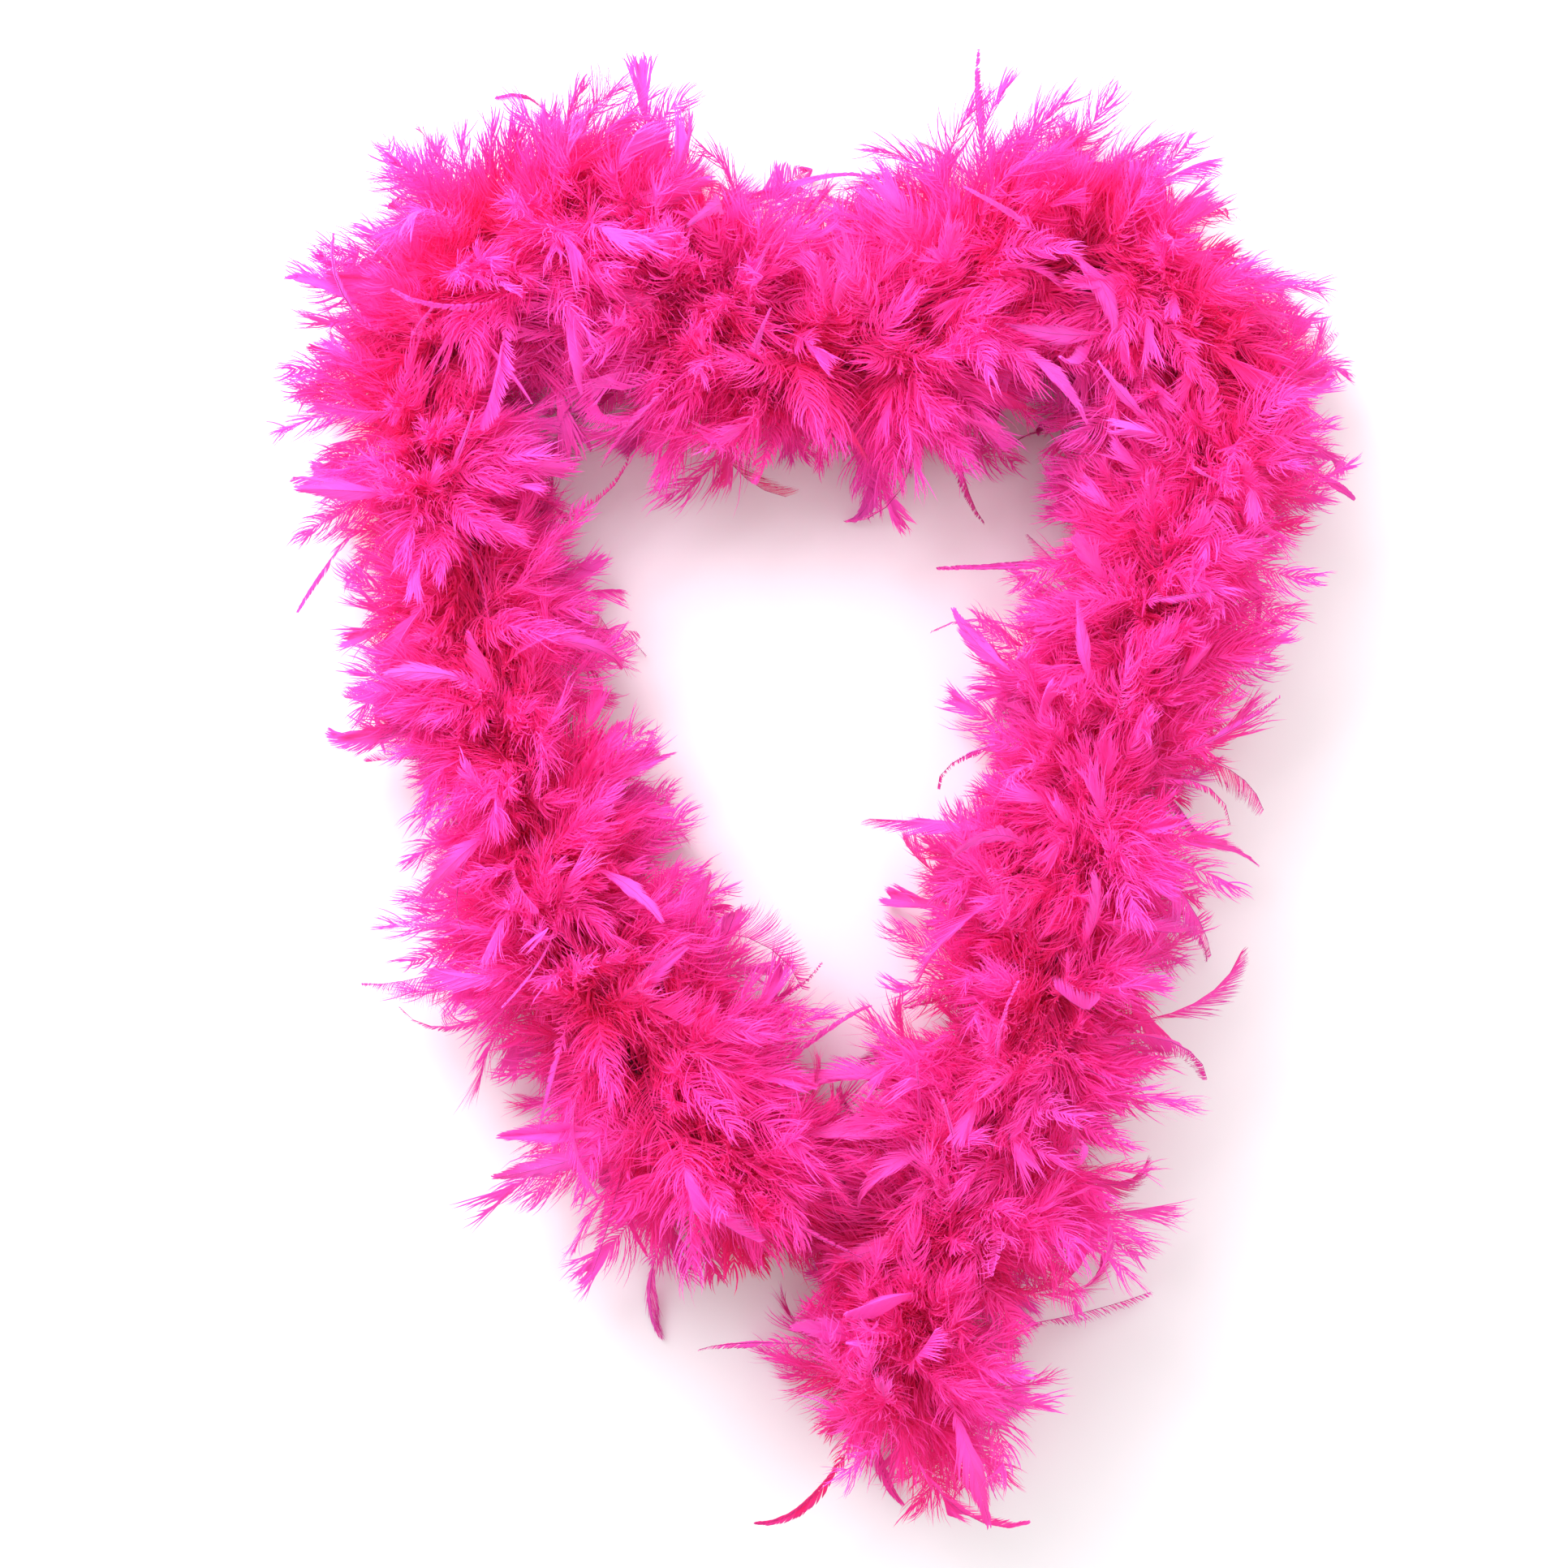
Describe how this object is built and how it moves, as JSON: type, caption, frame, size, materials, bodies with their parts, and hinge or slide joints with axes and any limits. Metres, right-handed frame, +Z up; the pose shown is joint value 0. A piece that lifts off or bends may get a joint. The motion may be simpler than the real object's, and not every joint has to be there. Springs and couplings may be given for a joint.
{
  "type": "feather boa",
  "caption": "Fluffy feather boa with long curled flats on a flexible cord, laid in the outline of a heart on a flat surface.",
  "frame": {"origin": "middle of the heart's outline, on the surface that the boa lies on", "axes": "+Y from the tip of the heart to its lobes, +Z up from the surface, +X towards the lobe that is on the right when seen from above"},
  "size_m": [0.6112, 0.8234, 0.157],
  "materials": {
    "down": "matte",
    "flats": "satin",
    "cord": "matte",
    "thread": "satin"
  },
  "bodies": {
    "middle": {"down_middle": "down", "flats_middle": "flats", "core_middle": "cord", "thread_middle": "thread"},
    "left_1": {"down_left_1": "down", "flats_left_1": "flats", "core_left_1": "cord", "thread_left_1": "thread"},
    "left_2": {"down_left_2": "down", "flats_left_2": "flats", "core_left_2": "cord", "thread_left_2": "thread"},
    "left_3": {"down_left_3": "down", "flats_left_3": "flats", "core_left_3": "cord", "thread_left_3": "thread"},
    "left_4": {"down_left_4": "down", "flats_left_4": "flats", "core_left_4": "cord", "thread_left_4": "thread"},
    "left_5": {"down_left_5": "down", "flats_left_5": "flats", "core_left_5": "cord", "thread_left_5": "thread"},
    "left_6": {"down_left_6": "down", "flats_left_6": "flats", "core_left_6": "cord", "thread_left_6": "thread", "left_knot": "cord", "left_whipping": "thread"},
    "right_1": {"down_right_1": "down", "flats_right_1": "flats", "core_right_1": "cord", "thread_right_1": "thread"},
    "right_2": {"down_right_2": "down", "flats_right_2": "flats", "core_right_2": "cord", "thread_right_2": "thread"},
    "right_3": {"down_right_3": "down", "flats_right_3": "flats", "core_right_3": "cord", "thread_right_3": "thread"},
    "right_4": {"down_right_4": "down", "flats_right_4": "flats", "core_right_4": "cord", "thread_right_4": "thread"},
    "right_5": {"down_right_5": "down", "flats_right_5": "flats", "core_right_5": "cord", "thread_right_5": "thread"},
    "right_6": {"down_right_6": "down", "flats_right_6": "flats", "core_right_6": "cord", "thread_right_6": "thread"},
    "right_7": {"down_right_7": "down", "flats_right_7": "flats", "core_right_7": "cord", "thread_right_7": "thread", "right_knot": "cord", "right_whipping": "thread"}
  },
  "joints": [
    {"name": "flex_left_1", "type": "hinge", "parent": "middle", "child": "left_1", "pos_m": [-0.0424, 0.26463, 0.062], "axis": [0, 0, -1], "range_deg": [0, 10]},
    {"name": "flex_left_2", "type": "hinge", "parent": "left_1", "child": "left_2", "pos_m": [-0.1057, 0.32576, 0.062], "axis": [0, 0, -1], "range_deg": [0, 54]},
    {"name": "flex_left_3", "type": "hinge", "parent": "left_2", "child": "left_3", "pos_m": [-0.19237, 0.31048, 0.062], "axis": [0, 0, -1], "range_deg": [0, 54]},
    {"name": "flex_left_4", "type": "hinge", "parent": "left_3", "child": "left_4", "pos_m": [-0.23094, 0.23138, 0.062], "axis": [0, 0, -1], "range_deg": [0, 45]},
    {"name": "flex_left_5", "type": "hinge", "parent": "left_4", "child": "left_5", "pos_m": [-0.18798, 0.07104, 0.062], "axis": [0, 0, -1], "range_deg": [0, 30]},
    {"name": "flex_left_6", "type": "hinge", "parent": "left_5", "child": "left_6", "pos_m": [-0.13945, -0.08771, 0.062], "axis": [0, 0, -1], "range_deg": [0, 30]},
    {"name": "flex_right_1", "type": "hinge", "parent": "middle", "child": "right_1", "pos_m": [0.0456, 0.26463, 0.062], "axis": [0, 0, 1], "range_deg": [0, 12]},
    {"name": "flex_right_2", "type": "hinge", "parent": "right_1", "child": "right_2", "pos_m": [0.11301, 0.3212, 0.062], "axis": [0, 0, 1], "range_deg": [0, 54]},
    {"name": "flex_right_3", "type": "hinge", "parent": "right_2", "child": "right_3", "pos_m": [0.1984, 0.2999, 0.062], "axis": [0, 0, 1], "range_deg": [0, 54]},
    {"name": "flex_right_4", "type": "hinge", "parent": "right_3", "child": "right_4", "pos_m": [0.23136, 0.21831, 0.062], "axis": [0, 0, 1], "range_deg": [0, 45]},
    {"name": "flex_right_5", "type": "hinge", "parent": "right_4", "child": "right_5", "pos_m": [0.18751, 0.07487, 0.062], "axis": [0, 0, 1], "range_deg": [0, 20]},
    {"name": "flex_right_6", "type": "hinge", "parent": "right_5", "child": "right_6", "pos_m": [0.14365, -0.06858, 0.062], "axis": [0, 0, 1], "range_deg": [0, 20]},
    {"name": "flex_right_7", "type": "hinge", "parent": "right_6", "child": "right_7", "pos_m": [0.10991, -0.21473, 0.062], "axis": [0, 0, 1], "range_deg": [0, 25]}
  ]
}
